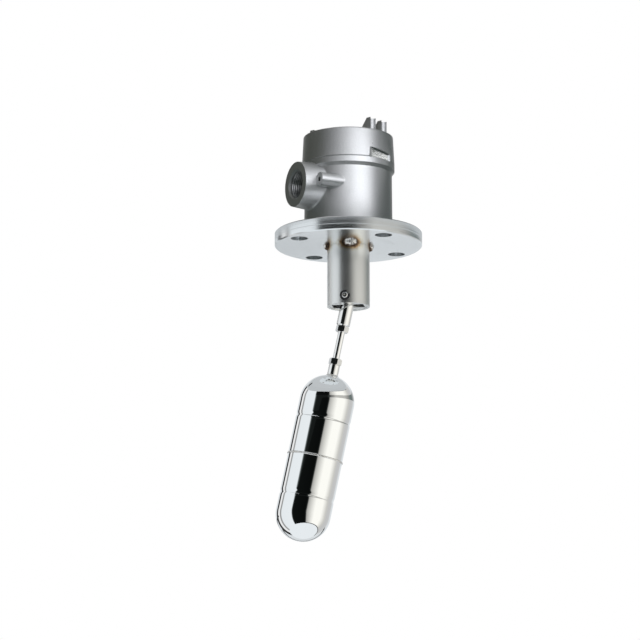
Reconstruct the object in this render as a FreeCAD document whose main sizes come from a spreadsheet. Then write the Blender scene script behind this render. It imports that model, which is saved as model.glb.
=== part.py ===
import FreeCAD, Part
import math
import operator
import os
import Sketcher

# Side mount float switch: a float on a pivoted arm moves a magnet below a closed metal wall,
# and that magnet repels a second one which works a micro switch in a cast housing.
# Millimetres. The origin is the centre of the flange's lower, sealing face, +Z points up to
# the housing, and the pivot pin of the float arm runs along Y.

SIZES = {
    # how far a cutter runs past the face it opens
    "overrun": 1.0,
    # flange
    "flange_diameter": 130.0,
    "flange_thickness": 12.0,
    "flange_edge_chamfer": 0.8,
    "bolt_edge_margin": 12.5,
    "bolt_hole_diameter": 15.0,
    "bolt_count": 4,
    # partition well
    "well_gap": 2.9,
    "well_wall": 1.0,
    "well_depth": 12.0,
    "well_rim_width": 4.0,
    "well_rim_thickness": 1.5,
    "well_corner": 2.0,
    # pivot sleeve
    "sleeve_diameter": 37.5,
    "sleeve_wall": 2.25,
    "sleeve_below_pivot": 6.5,
    "relief_width": 4.25,
    "relief_depth": 0.3,
    "weld_bead": 2.8,
    "weld_arc": 36.0,
    "weld_count": 4,
    "first_weld_angle": -75.0,
    # pivot
    "pivot_depth": 48.0,
    "pin_diameter": 5.0,
    "pin_overhang": 1.7,
    "pin_chamfer": 0.5,
    "pin_centre_drill": 1.6,
    "pin_running_gap": 0.05,
    "clip_diameter": 9.0,
    "clip_thickness": 0.7,
    "clip_mouth": 3.2,
    "clip_groove_depth": 0.5,
    "spacer_wall": 1.0,
    "tilt": 12.0,
    # guide plate in the mouth of the sleeve
    "guide_thickness": 1.5,
    "guide_recess": 0.6,
    "guide_rim": 1.2,
    # float arm
    "arm_diameter": 12.0,
    "arm_reach": 24.3,
    "arm_chamfer": 1.0,
    "arm_flat_width": 11.0,
    "arm_shoulder_rise": 8.0,
    "arm_shoulder_slope": 2.0,
    "tail_gap": 3.0,
    "rod_engagement": 11.0,
    # arm magnet
    "arm_magnet_height": 8.0,
    "holder_base": 5.0,
    "holder_lip": 0.8,
    "holder_wall": 2.5,
    "holder_chamfer": 1.0,
    "magnet_seat_width": 3.0,
    "magnet_chamfer": 0.5,
    "stop_gap": 0.35,
    # rod and nuts
    "rod_diameter": 6.0,
    "nut_across_flats": 10.0,
    "nut_height": 5.6,
    "lower_nut_reach": 59.6,
    # float
    "stem_diameter": 9.8,
    "stem_length": 9.7,
    "stem_wall": 1.2,
    "stem_weld_width": 1.5,
    "stem_weld_height": 1.2,
    "float_diameter": 48.0,
    "float_length": 148.4,
    "float_wall": 0.8,
    "float_bead_offset": 34.6,
    "float_bead_depth": 1.0,
    "float_bead_width": 4.4,
    "seam_width": 1.4,
    "seam_height": 0.7,
    # housing
    "housing_diameter": 78.0,
    "housing_draft": 0.5,
    "housing_height": 60.8,
    "housing_wall": 4.6,
    "housing_floor": 5.0,
    "chamber_corner": 2.0,
    "housing_base_chamfer": 0.8,
    "collar_step": 2.0,
    "collar_height": 5.3,
    "collar_bevel": 3.0,
    "seam_chamfer": 0.6,
    "neck_step": 6.7,
    "neck_wall": 3.3,
    "neck_height": 11.0,
    "conduit_angle": -142.0,
    "conduit_drop": 22.5,
    "conduit_stand_out": 13.7,
    "conduit_diameter": 40.0,
    "conduit_root_diameter": 42.4,
    "conduit_thread_minor": 24.12,
    "conduit_mouth": 27.0,
    "conduit_mouth_depth": 1.5,
    "conduit_root_radius": 2.0,
    "earth_boss_diameter": 12.0,
    "earth_boss_overlap": 0.6,
    "earth_boss_stand_out": 4.1,
    "earth_boss_root_radius": 1.0,
    "earth_hole_diameter": 4.2,
    "earth_hole_depth": 9.0,
    # housing screws and seals
    "housing_screw_inset": 6.4,
    "housing_screw_count": 4,
    "housing_screw_diameter": 5.0,
    "housing_screw_depth": 8.0,
    "housing_screw_head": 8.5,
    "screw_hole_gap": 0.5,
    "hex_socket": 4.0,
    "base_ring_inset": 5.0,
    "base_ring_section": 2.4,
    # cover
    "cover_height": 26.0,
    "cover_draft": 1.25,
    "cover_wall": 4.5,
    "cover_edge_radius": 1.0,
    "cover_corner": 2.0,
    "cover_top_step": 1.5,
    "cover_top_shoulder": 5.75,
    "thread_gap": 0.2,
    "cover_ring_section": 2.0,
    "cover_ring_gap": 0.1,
    "fin_height": 11.0,
    "fin_thickness": 7.0,
    "fin_spacing": 15.0,
    "fin_top_length": 8.0,
    "fin_slope": 58.0,
    "fin_angle": -31.0,
    "notch_depth": 3.2,
    "notch_step_side": 10.8,
    "notch_low_height": 6.2,
    "notch_high_height": 12.0,
    # switch bracket and lever
    "bracket_sheet": 1.5,
    "bracket_screw_gap": 1.75,
    "bracket_base_width": 22.0,
    "bracket_screw_inset": 3.5,
    "lever_pivot_rise": 6.0,
    "ear_height": 10.0,
    "ear_width": 10.0,
    "ear_clearance": 0.6,
    "bracket_opening": 8.0,
    "lever_width": 6.0,
    "lever_thickness": 8.0,
    "lever_swing": 16.0,
    "finger_switch_gap": 3.0,
    "lever_finger_rise": 12.0,
    "lever_finger_height": 3.0,
    "lever_drop": 24.0,
    "lever_pin_diameter": 3.0,
    "switch_magnet_diameter": 8.0,
    "switch_magnet_height": 6.0,
    # micro switch
    "blade_wall_gap": 2.0,
    "switch_depth": 15.9,
    "switch_height": 27.8,
    "switch_width": 10.3,
    "switch_rise": 7.0,
    "switch_hole_inset": 2.8,
    "switch_screw_diameter": 3.0,
    "button_diameter": 3.0,
    "button_length": 7.0,
    "button_travel": 1.0,
    "button_gap": 0.1,
    "blade_length": 5.5,
    "blade_width": 4.8,
    "blade_thickness": 0.8,
    "blade_pitch": 8.0,
    # terminal block
    "shelf_gap": 4.2,
    "block_length": 42.0,
    "block_width": 16.0,
    "block_height": 10.0,
    "block_wall": 1.6,
    "terminal_count": 3,
    "terminal_pitch": 12.0,
    "terminal_row_spacing": 8.0,
    "terminal_screw_head": 6.0,
    "terminal_plate_thickness": 1.0,
    "tap_floor": 1.0,
    "earth_screw_inset": 10.4,
    "earth_screw_diameter": 4.0,
}

doc = FreeCAD.newDocument("side_mount_float_switch")
sheet = doc.addObject("Spreadsheet::Sheet", "Sizes")


class Size:
    """A size's value now, with the expression that keeps it tied to the sheet."""

    def __init__(self, value, text):
        self.value = value
        self.text = text

    def joined(self, other, work, sign):
        other = as_size(other)
        return Size(work(self.value, other.value), f"({self.text} {sign} {other.text})")

    def __add__(self, other):
        return self.joined(other, operator.add, "+")

    def __radd__(self, other):
        return as_size(other).joined(self, operator.add, "+")

    def __sub__(self, other):
        return self.joined(other, operator.sub, "-")

    def __rsub__(self, other):
        return as_size(other).joined(self, operator.sub, "-")

    def __mul__(self, other):
        return self.joined(other, operator.mul, "*")

    def __rmul__(self, other):
        return as_size(other).joined(self, operator.mul, "*")

    def __truediv__(self, other):
        return self.joined(other, operator.truediv, "/")

    def __rtruediv__(self, other):
        return as_size(other).joined(self, operator.truediv, "/")

    def __neg__(self):
        return as_size(0).joined(self, operator.sub, "-")


def as_size(thing):
    if isinstance(thing, Size):
        return thing
    return Size(float(thing), f"({float(thing)})")


def sine(angle):
    return Size(math.sin(math.radians(angle.value)), f"sin({angle.text} * 1 deg)")


def cosine(angle):
    return Size(math.cos(math.radians(angle.value)), f"cos({angle.text} * 1 deg)")


def tangent(angle):
    return Size(math.tan(math.radians(angle.value)), f"tan({angle.text} * 1 deg)")


def root(size):
    return Size(math.sqrt(size.value), f"sqrt({size.text})")


def fill_sheet():
    """Write each driving size into a cell of its own and give the cell its name."""
    named = {}
    for row, (name, number) in enumerate(SIZES.items(), start=1):
        sheet.set(f"A{row}", name)
        sheet.set(f"B{row}", str(number))
        sheet.setAlias(f"B{row}", name)
        named[name] = Size(float(number), f"{sheet.Name}.{name}")
    doc.recompute()
    return type("Named", (), named)


def bind(thing, prop, size):
    """Set a property now and tie it to the sheet."""
    thing.setExpression(prop, as_size(size).text)


def place(thing, at=(0, 0, 0), axis=(0, 0, 1), turn=None):
    """Set a piece at a point of the row's frame, turned about an axis through that point."""
    x, y, z = (as_size(part) for part in at)
    angle = as_size(turn if turn is not None else 0)
    spin = FreeCAD.Rotation(FreeCAD.Vector(*axis), angle.value)
    thing.Placement = FreeCAD.Placement(FreeCAD.Vector(x.value, y.value, z.value), spin)
    for letter, part in zip("xyz", (x, y, z)):
        bind(thing, f"Placement.Base.{letter}", part)
    if turn is not None:
        bind(thing, "Placement.Rotation.Angle", angle)
    return thing


def cylinder(name, radius, length, at=(0, 0, 0), along=(0, 0, 1)):
    """A round bar that starts at a point and runs along a direction."""
    bar = doc.addObject("Part::Cylinder", name)
    bind(bar, "Radius", radius)
    bind(bar, "Height", length)
    place(bar, at)
    lean = FreeCAD.Rotation(FreeCAD.Vector(0, 0, 1), FreeCAD.Vector(*along))
    bar.Placement = FreeCAD.Placement(bar.Placement.Base, lean)
    return bar


def block(name, low, high):
    """A rectangular block between two corners."""
    box = doc.addObject("Part::Box", name)
    for prop, start, end in zip(("Length", "Width", "Height"), low, high):
        bind(box, prop, as_size(end) - start)
    place(box, low)
    return box


def fused(name, pieces):
    joint = doc.addObject("Part::MultiFuse", name)
    joint.Shapes = pieces
    joint.Refine = True
    return joint


def cut(name, piece, tools):
    """A piece with one or more tools taken out of it."""
    tool = tools[0] if len(tools) == 1 else fused(name + "_tools", tools)
    result = doc.addObject("Part::Cut", name)
    result.Base = piece
    result.Tool = tool
    return result


def group(name, pieces):
    """Like pieces kept as separate solids in one sub-part."""
    bundle = doc.addObject("Part::Compound", name)
    bundle.Links = pieces
    return bundle


def new_body(name):
    return doc.addObject("PartDesign::Body", name)


def origin_plane(body, role):
    return next(item for item in body.Origin.OriginFeatures if item.Role == role)


def new_sketch(body, name, plane, offset=None):
    sketch = body.newObject("Sketcher::SketchObject", name)
    sketch.AttachmentSupport = [(origin_plane(body, plane), "")]
    sketch.MapMode = "FlatFace"
    if offset is not None:
        bind(sketch, "AttachmentOffset.Base.z", offset)
    return sketch


def hold(sketch, edge, point, letter, size):
    """Hold one coordinate of a point of the sketch, on the axis where the coordinate is nought."""
    if size.value == 0:
        axis = -2 if letter == "X" else -1
        sketch.addConstraint(Sketcher.Constraint("PointOnObject", edge, point, axis))
        return
    rule = Sketcher.Constraint("Distance" + letter, -1, 1, edge, point, size.value)
    index = sketch.addConstraint(rule)
    bind(sketch, f"Constraints[{index}]", size)


def edge_between(start, end, centre_x):
    """A straight edge, or the arc between two corners whose centre has the given X."""
    if centre_x is None:
        return Part.LineSegment(start, end), True
    rise = end.y - start.y
    run = end.x ** 2 - start.x ** 2 - 2 * centre_x.value * (end.x - start.x)
    centre_y = (run + end.y ** 2 - start.y ** 2) / (2 * rise)
    centre = FreeCAD.Vector(centre_x.value, centre_y, 0)
    first = start - centre
    last = end - centre
    forward = first.cross(last).z > 0
    if not forward:
        first, last = last, first
    circle = Part.Circle(centre, FreeCAD.Vector(0, 0, 1), first.Length)
    low = math.atan2(first.y, first.x)
    high = math.atan2(last.y, last.x)
    if high < low:
        high += 2 * math.pi
    return Part.ArcOfCircle(circle, low, high), forward


def outline(sketch, corners):
    """A closed outline. Each corner is (x, y), or (x, y, centre_x) where an arc leaves it."""
    first_edge = sketch.GeometryCount
    points = []
    for corner in corners:
        sizes = [as_size(part) for part in corner]
        points.append((sizes, FreeCAD.Vector(sizes[0].value, sizes[1].value, 0)))
    starts = []
    ends = []
    for index, (sizes, spot) in enumerate(points):
        following = points[(index + 1) % len(points)][1]
        centre_x = sizes[2] if len(sizes) == 3 else None
        edge, forward = edge_between(spot, following, centre_x)
        sketch.addGeometry(edge, False)
        starts.append(1 if forward else 2)
        ends.append(2 if forward else 1)
    count = len(points)
    for index in range(count):
        after = (index + 1) % count
        rule = Sketcher.Constraint("Coincident", first_edge + index, ends[index],
                                   first_edge + after, starts[after])
        sketch.addConstraint(rule)
    for index, (sizes, spot) in enumerate(points):
        hold(sketch, first_edge + index, starts[index], "X", sizes[0])
        hold(sketch, first_edge + index, starts[index], "Y", sizes[1])
        if len(sizes) == 3:
            hold(sketch, first_edge + index, 3, "X", sizes[2])


def circle(sketch, x, y, diameter):
    """A circle in a sketch, held by its centre and its diameter."""
    x, y, diameter = as_size(x), as_size(y), as_size(diameter)
    centre = FreeCAD.Vector(x.value, y.value, 0)
    edge = sketch.addGeometry(Part.Circle(centre, FreeCAD.Vector(0, 0, 1), diameter.value / 2))
    index = sketch.addConstraint(Sketcher.Constraint("Diameter", edge, diameter.value))
    bind(sketch, f"Constraints[{index}]", diameter)
    hold(sketch, edge, 3, "X", x)
    hold(sketch, edge, 3, "Y", y)


def revolve(body, corners, name="Turned"):
    """A turned form: the outline in the body's XZ plane, revolved about the body's Z axis."""
    sketch = new_sketch(body, name + "Profile", "XZ_Plane")
    outline(sketch, corners)
    form = body.newObject("PartDesign::Revolution", name)
    form.Profile = sketch
    form.ReferenceAxis = (sketch, ["V_Axis"])
    form.Angle = 360
    return form


def groove(body, corners, name):
    """A turned cut about the body's Z axis."""
    sketch = new_sketch(body, name + "Profile", "XZ_Plane")
    outline(sketch, corners)
    form = body.newObject("PartDesign::Groove", name)
    form.Profile = sketch
    form.ReferenceAxis = (sketch, ["V_Axis"])
    form.Angle = 360
    return form


def extrude(body, kind, sketch, length, name, both_sides=False, reverse=False):
    form = body.newObject("PartDesign::" + kind, name)
    form.Profile = sketch
    form.SideType = "Symmetric" if both_sides else "One side"
    form.Reversed = reverse
    bind(form, "Length", length)
    return form


def ring_pattern(body, feature, count, name):
    """Copies of a feature spaced evenly round the body's Z axis."""
    axis = origin_plane(body, "Z_Axis")
    pattern = body.newObject("PartDesign::PolarPattern", name)
    pattern.Originals = [feature]
    pattern.Axis = (axis, [""])
    pattern.Angle = 360
    bind(pattern, "Occurrences", count)
    body.Tip = pattern
    return pattern


s = fill_sheet()

# Places that several pieces share.
pivot = (0, 0, -s.pivot_depth)
sleeve_outer = s.sleeve_diameter / 2
sleeve_inner = sleeve_outer - s.sleeve_wall
pin_radius = s.pin_diameter / 2
bolt_radius = s.flange_diameter / 2 - s.bolt_edge_margin
well_outer = sleeve_inner - s.well_gap
well_inner = well_outer - s.well_wall
well_rim = well_outer + s.well_rim_width
sleeve_length = s.pivot_depth + s.sleeve_below_pivot
tail_rise = s.pivot_depth - s.well_depth - s.tail_gap
holder_radius = (sleeve_inner - s.stop_gap - tail_rise * sine(s.tilt)) / cosine(s.tilt)
arm_magnet_radius = holder_radius - s.holder_wall
tail_radius = arm_magnet_radius - s.magnet_seat_width
relief_radius = sleeve_outer + s.relief_width
flange_top = s.flange_thickness
housing_top = flange_top + s.housing_height
housing_radius = s.housing_diameter / 2
collar_radius = housing_radius + s.collar_step
neck_radius = collar_radius - s.neck_step
neck_top = housing_top + s.neck_height
chamber_radius = housing_radius - s.housing_wall
chamber_floor = flange_top + s.housing_floor
housing_screw_radius = chamber_radius - s.housing_screw_inset
conduit_height = housing_top - s.conduit_drop
conduit_reach = housing_radius + s.conduit_stand_out
earth_boss_offset = s.conduit_root_diameter / 2 + s.earth_boss_diameter / 2 - s.earth_boss_overlap
earth_boss_reach = housing_radius + s.earth_boss_stand_out
cover_top_radius = collar_radius - s.cover_draft
bracket_half_length = housing_screw_radius - s.housing_screw_head / 2 - s.bracket_screw_gap
bracket_screw_reach = bracket_half_length - s.bracket_screw_inset
switch_face = chamber_radius - s.blade_wall_gap - s.blade_length - s.switch_depth
switch_bottom = chamber_floor + s.switch_rise
shelf_height = switch_bottom + s.switch_height + s.shelf_gap
finger_reach = switch_face - s.finger_switch_gap
cover_top = housing_top + s.cover_height
float_top = -(s.lower_nut_reach + s.stem_length)
float_radius = s.float_diameter / 2
float_middle = float_top - s.float_length / 2
lever_pivot = (0, 0, chamber_floor + s.lever_pivot_rise)
lever_rest = s.lever_swing / 2


def flange():
    """The plate that bolts to the tank nozzle, bored for the partition well."""
    body = new_body("flange")
    radius = s.flange_diameter / 2
    edge = s.flange_edge_chamfer
    bore = well_outer
    rim_low = flange_top - s.well_rim_thickness
    revolve(body, [
        (bore, s.relief_depth), (relief_radius, s.relief_depth), (relief_radius, 0),
        (radius - edge, 0), (radius, edge), (radius, flange_top - edge),
        (radius - edge, flange_top), (well_rim, flange_top), (well_rim, rim_low), (bore, rim_low)])
    holes = new_sketch(body, "BoltHoleSketch", "XY_Plane")
    reach = bolt_radius * math.sqrt(0.5)
    circle(holes, reach, reach, s.bolt_hole_diameter)
    hole = extrude(body, "Pocket", holes, flange_top, "BoltHole", reverse=True)
    ring_pattern(body, hole, s.bolt_count, "BoltHoles")
    taps = new_sketch(body, "TappedHoleSketch", "XY_Plane", flange_top)
    circle(taps, housing_screw_radius * cosine(s.conduit_angle + 45),
           housing_screw_radius * sine(s.conduit_angle + 45), s.housing_screw_diameter)
    tap = extrude(body, "Pocket", taps, s.housing_screw_depth + s.overrun, "TappedHole")
    ring_pattern(body, tap, s.housing_screw_count, "TappedHoles")
    return body


def partition_well():
    """A deep-drawn cup that closes the liquid side; its rim sits in the flange's top face."""
    body = new_body("partition_well")
    outer = well_outer
    inner = well_inner
    rim_low = flange_top - s.well_rim_thickness
    foot = -s.well_depth
    corner = s.well_corner
    revolve(body, [
        (0, foot), (outer - corner, foot, outer - corner), (outer, foot + corner),
        (outer, rim_low), (well_rim, rim_low), (well_rim, flange_top), (inner, flange_top),
        (inner, foot + corner, outer - corner), (outer - corner, foot + s.well_wall),
        (0, foot + s.well_wall)])
    return body


def pivot_sleeve():
    """The tube under the flange that carries the pivot pin."""
    body = new_body("pivot_sleeve")
    revolve(body, [
        (sleeve_inner, -sleeve_length), (sleeve_outer, -sleeve_length),
        (sleeve_outer, s.relief_depth), (sleeve_inner, s.relief_depth)])
    holes = new_sketch(body, "PinHoleSketch", "XZ_Plane")
    circle(holes, 0, -s.pivot_depth, s.pin_diameter)
    extrude(body, "Pocket", holes, s.sleeve_diameter + s.overrun, "PinHole", both_sides=True)
    return body


def sleeve_welds():
    """Four short fillet beads between the sleeve and the flange."""
    beads = []
    for number in range(int(s.weld_count.value)):
        bead = doc.addObject("Part::Torus", f"WeldRing{number}")
        bind(bead, "Radius1", sleeve_outer)
        bind(bead, "Radius2", s.weld_bead)
        bind(bead, "Angle3", s.weld_arc)
        place(bead, (0, 0, s.relief_depth),
              turn=s.first_weld_angle - s.weld_arc / 2 + 360 / s.weld_count * number)
        above = block(f"WeldAbove{number}", (-s.sleeve_diameter, -s.sleeve_diameter, s.relief_depth),
                      (s.sleeve_diameter, s.sleeve_diameter, s.weld_bead * 2))
        tube = cylinder(f"WeldTube{number}", sleeve_outer, s.weld_bead * 4, (0, 0, -s.weld_bead * 2))
        beads.append(cut(f"Weld{number}", bead, [above, tube]))
    return group("sleeve_welds", beads)


def arm_guide():
    """The plate in the mouth of the sleeve, with a long slot that lets the arm swing one way only."""
    low = s.guide_recess - sleeve_length
    high = low + s.guide_thickness
    plate = cylinder("GuidePlate", sleeve_inner, s.guide_thickness, (0, 0, low))
    side = s.arm_diameter / 2 + s.stop_gap
    corner = sleeve_inner - s.guide_rim
    half = root(corner * corner - side * side)
    slot = block("GuideSlot", (-half, -side, low - s.overrun), (half, side, high + s.overrun))
    return cut("arm_guide", plate, [slot])


def pivot_pin():
    """The turned pin, with a groove near each end for its retaining ring."""
    body = new_body("pivot_pin")
    half = sleeve_outer + s.pin_overhang
    near = sleeve_outer
    far = near + s.clip_thickness
    neck = pin_radius - s.clip_groove_depth
    edge = s.pin_chamfer
    drill = s.pin_centre_drill / 2
    revolve(body, [
        (0, -half + drill), (drill, -half), (pin_radius - edge, -half), (pin_radius, -half + edge),
        (pin_radius, -far), (neck, -far), (neck, -near), (pin_radius, -near),
        (pin_radius, near), (neck, near), (neck, far), (pin_radius, far),
        (pin_radius, half - edge), (pin_radius - edge, half), (drill, half), (0, half - drill)])
    place(body, pivot, (1, 0, 0), 90)
    return body


def pin_clip(name, side):
    """A retaining ring that snaps sideways into the pin's groove."""
    neck = pin_radius - s.clip_groove_depth
    start = as_size(side) * sleeve_outer
    middle = (0, start, -s.pivot_depth)
    ring = cylinder(name + "_disc", s.clip_diameter / 2, s.clip_thickness, middle, (0, side, 0))
    bore = cylinder(name + "_bore", neck, s.clip_thickness, middle, (0, side, 0))
    mouth = doc.addObject("Part::Box", name + "_mouth")
    bind(mouth, "Length", s.clip_diameter)
    bind(mouth, "Width", s.clip_thickness + s.overrun * 2)
    bind(mouth, "Height", s.clip_mouth)
    turn = FreeCAD.Rotation(FreeCAD.Vector(0, 1, 0), -45)
    corner = turn.multVec(FreeCAD.Vector(0, 0, -s.clip_mouth.value / 2))
    near = start - (s.clip_thickness + s.overrun * 2) / 2
    base = FreeCAD.Vector(0, near.value, -s.pivot_depth.value) + corner
    mouth.Placement = FreeCAD.Placement(base, turn)
    return cut(name, ring, [bore, mouth])


def pivot_spacers():
    """Two tubes on the pin that keep the arm in the middle of the sleeve."""
    gap = s.pin_running_gap
    near = s.arm_flat_width / 2 + gap * 4
    far = root(sleeve_inner * sleeve_inner - (pin_radius + s.spacer_wall) * (pin_radius + s.spacer_wall))
    tubes = []
    for side in (-1, 1):
        middle = (0, as_size(side) * near, -s.pivot_depth)
        tube = cylinder(f"Spacer{side + 1}", pin_radius + s.spacer_wall, far - near, middle, (0, side, 0))
        bore = cylinder(f"SpacerBore{side + 1}", pin_radius, far - near, middle, (0, side, 0))
        tubes.append(cut(f"SpacerTube{side + 1}", tube, [bore]))
    return group("pivot_spacers", tubes)


def on_arm(piece):
    """Hang a piece made about its own Z axis on the tilted float arm."""
    return place(piece, pivot, (0, 1, 0), s.tilt)


def float_arm():
    """The turned arm: flats at the pivot, a tapped end below and a tail for the magnet above."""
    body = new_body("float_arm")
    radius = s.arm_diameter / 2
    tail = tail_radius
    edge = s.arm_chamfer
    rise = s.arm_shoulder_rise
    rod = s.rod_diameter / 2
    depth = s.rod_engagement
    holder_low = tail_rise - s.arm_magnet_height - s.holder_lip - s.holder_base
    revolve(body, [
        (rod, -s.arm_reach), (radius - edge, -s.arm_reach), (radius, edge - s.arm_reach),
        (radius, rise - s.arm_shoulder_slope), (tail, rise), (tail, holder_low + s.holder_base),
        (0, holder_low + s.holder_base), (0, depth - s.arm_reach), (rod, depth - s.arm_reach)])
    bore = new_sketch(body, "PivotBoreSketch", "XZ_Plane")
    circle(bore, 0, 0, s.pin_diameter + s.pin_running_gap * 2)
    extrude(body, "Pocket", bore, s.arm_diameter + s.overrun, "PivotBore", both_sides=True)
    flats = new_sketch(body, "FlatSketch", "YZ_Plane")
    half = s.arm_flat_width / 2
    low = -(pin_radius + s.spacer_wall + s.overrun)
    far = radius + s.overrun
    high = rise + s.overrun
    for side in (-1, 1):
        outline(flats, [(half * side, low), (far * side, low), (far * side, high), (half * side, high)])
    extrude(body, "Pocket", flats, s.arm_diameter + s.overrun, "Flats", both_sides=True)
    return on_arm(body)


def magnet_holder():
    """A cup on the arm's tail, whose rim meets the sleeve when the arm reaches its full tilt."""
    body = new_body("magnet_holder")
    outer = holder_radius
    edge = s.holder_chamfer
    magnet = arm_magnet_radius
    low = tail_rise - s.arm_magnet_height - s.holder_lip - s.holder_base
    floor = low + s.holder_base
    tail = tail_radius
    revolve(body, [
        (tail, low), (outer - edge, low), (outer, low + edge), (outer, tail_rise),
        (magnet, tail_rise), (magnet, floor), (tail, floor)])
    return on_arm(body)


def arm_magnet():
    top = tail_rise - s.holder_lip
    low = top - s.arm_magnet_height
    edge = s.magnet_chamfer
    body = new_body("arm_magnet")
    magnet = arm_magnet_radius
    revolve(body, [
        (0, low), (magnet, low), (magnet, top - edge), (magnet - edge, top), (0, top)])
    return on_arm(body)


def lock_nut(name, top):
    """A hexagon nut with both ends chamfered, bored for the rod."""
    body = new_body(name)
    across = s.nut_across_flats
    corner = across / math.sqrt(3)
    low = top - s.nut_height
    face = across / 2 * 0.96
    slope = (corner - face) * math.tan(math.radians(30))
    rod = s.rod_diameter / 2
    flats = new_sketch(body, "HexSketch", "XY_Plane", low)
    outline(flats, [(corner * math.cos(math.radians(60 * turn)),
                     corner * math.sin(math.radians(60 * turn))) for turn in range(6)])
    extrude(body, "Pad", flats, s.nut_height, "Hex")
    bore = new_sketch(body, "BoreSketch", "XY_Plane", top)
    circle(bore, 0, 0, s.rod_diameter)
    extrude(body, "Pocket", bore, s.nut_height, "Bore")
    groove(body, [(face, low), (corner + 1, low), (corner + 1, low + slope), (corner, low + slope)],
           "LowerChamfer")
    groove(body, [(face, top), (corner + 1, top), (corner + 1, top - slope), (corner, top - slope)],
           "UpperChamfer")
    return on_arm(body)


def float_rod():
    """The round rod, threaded at both ends, between the arm and the float."""
    body = new_body("float_rod")
    rod = s.rod_diameter / 2
    top = s.rod_engagement - 0.5 - s.arm_reach
    low = float_top + s.stem_wall + 0.5
    revolve(body, [(0, low), (rod - 0.5, low), (rod, low + 0.5), (rod, top - 0.5),
                   (rod - 0.5, top), (0, top)])
    return on_arm(body)


def float_stem():
    """The tapped socket that is welded into the top of the float."""
    body = new_body("float_stem")
    outer = s.stem_diameter / 2
    rod = s.rod_diameter / 2
    top = -s.lower_nut_reach
    low = float_top - s.float_wall * 2
    revolve(body, [
        (0, low), (outer, low), (outer, top - 0.6), (outer - 0.6, top), (rod, top),
        (rod, float_top + s.stem_wall), (0, float_top + s.stem_wall)])
    return on_arm(body)


def float_half(name, side):
    """One drawn half of the hollow float: a round end, a wall and a rolled bead."""
    body = new_body(name)
    outer = float_radius
    wall = s.float_wall
    inner = outer - wall
    middle = float_middle
    end = s.float_length / 2
    ball = middle + (end - outer) * side
    bead = middle + s.float_bead_offset * side
    half = s.float_bead_width / 2 * side
    depth = s.float_bead_depth
    if side > 0:
        hole = s.stem_diameter / 2
        outer_tip = (hole, ball + root(outer * outer - hole * hole) * side)
        inner_tip = (hole, ball + root(inner * inner - hole * hole) * side, 0)
    else:
        outer_tip = (0, ball + outer * side)
        inner_tip = (0, ball + inner * side, 0)
    revolve(body, [
        outer_tip, inner_tip, (inner, ball), (inner, bead + half), (inner - depth, bead + half / 3),
        (inner - depth, bead - half / 3), (inner, bead - half), (inner, middle), (outer, middle),
        (outer, bead - half), (outer - depth, bead - half / 3), (outer - depth, bead + half / 3),
        (outer, bead + half), (outer, ball, 0)])
    return on_arm(body)


def float_weld_ring():
    """The weld seam where the two halves of the float meet."""
    body = new_body("float_weld_ring")
    half = s.seam_width / 2
    outer = float_radius
    crest = outer + s.seam_height
    revolve(body, [
        (outer, float_middle - half), (crest - 0.2, float_middle - half),
        (crest, float_middle - half / 2), (crest, float_middle + half / 2),
        (crest - 0.2, float_middle + half), (outer, float_middle + half)])
    return on_arm(body)


def stem_weld():
    """The fillet bead between the stem and the float."""
    body = new_body("stem_weld")
    stem = s.stem_diameter / 2
    ball = float_middle + s.float_length / 2 - float_radius
    high = ball + root(float_radius * float_radius - stem * stem)
    wide = stem + s.stem_weld_width
    low = ball + root(float_radius * float_radius - wide * wide)
    top = high + s.stem_weld_height
    revolve(body, [(stem, high, 0), (wide, low),
                   (stem + s.stem_weld_width / 3, high + s.stem_weld_height / 2), (stem, top)])
    return on_arm(body)


def housing_body():
    """The cast housing: floor, drafted wall, collar, threaded neck and two bosses."""
    body = new_body("housing_body")
    edge = s.housing_base_chamfer
    wall_top = housing_radius - s.housing_draft
    revolve(body, [
        (well_inner, flange_top), (housing_radius - edge, flange_top),
        (housing_radius, flange_top + edge), (wall_top, neck_top), (well_inner, neck_top)], "Wall")
    conduit_boss(body)
    round_root(body, is_conduit_face, s.conduit_root_radius, "ConduitRoot")
    earth_boss(body)
    round_root(body, is_earth_face, s.earth_boss_root_radius, "EarthRoot")
    collar_and_neck(body, wall_top)
    chamber(body)
    conduit_bore(body)
    earth_hole(body)
    screw_holes(body)
    floor_taps(body)
    ring_seat(body)
    return place(body, turn=s.conduit_angle)


def points_along_x(face):
    return hasattr(face.Surface, "Axis") and abs(face.Surface.Axis.x) > 0.9


def is_conduit_face(face):
    return face.Surface.TypeId == "Part::GeomCone" and points_along_x(face)


def is_earth_face(face):
    return face.Surface.TypeId == "Part::GeomCylinder" and points_along_x(face)


def round_root(body, is_boss_face, radius, name):
    """Round the inside corner where a boss grows out of the casting."""
    doc.recompute()
    base = body.Tip
    names = []
    for number, edge in enumerate(base.Shape.Edges, start=1):
        faces = [face for face in base.Shape.Faces if any(rim.isSame(edge) for rim in face.Edges)]
        boss_sides = [face for face in faces if is_boss_face(face)]
        flat = any(face.Surface.TypeId == "Part::GeomPlane" for face in faces)
        if len(faces) == 2 and len(boss_sides) == 1 and not flat:
            names.append(f"Edge{number}")
    fillet = body.newObject("PartDesign::Fillet", name)
    fillet.Base = (base, names)
    bind(fillet, "Radius", radius)


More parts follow.
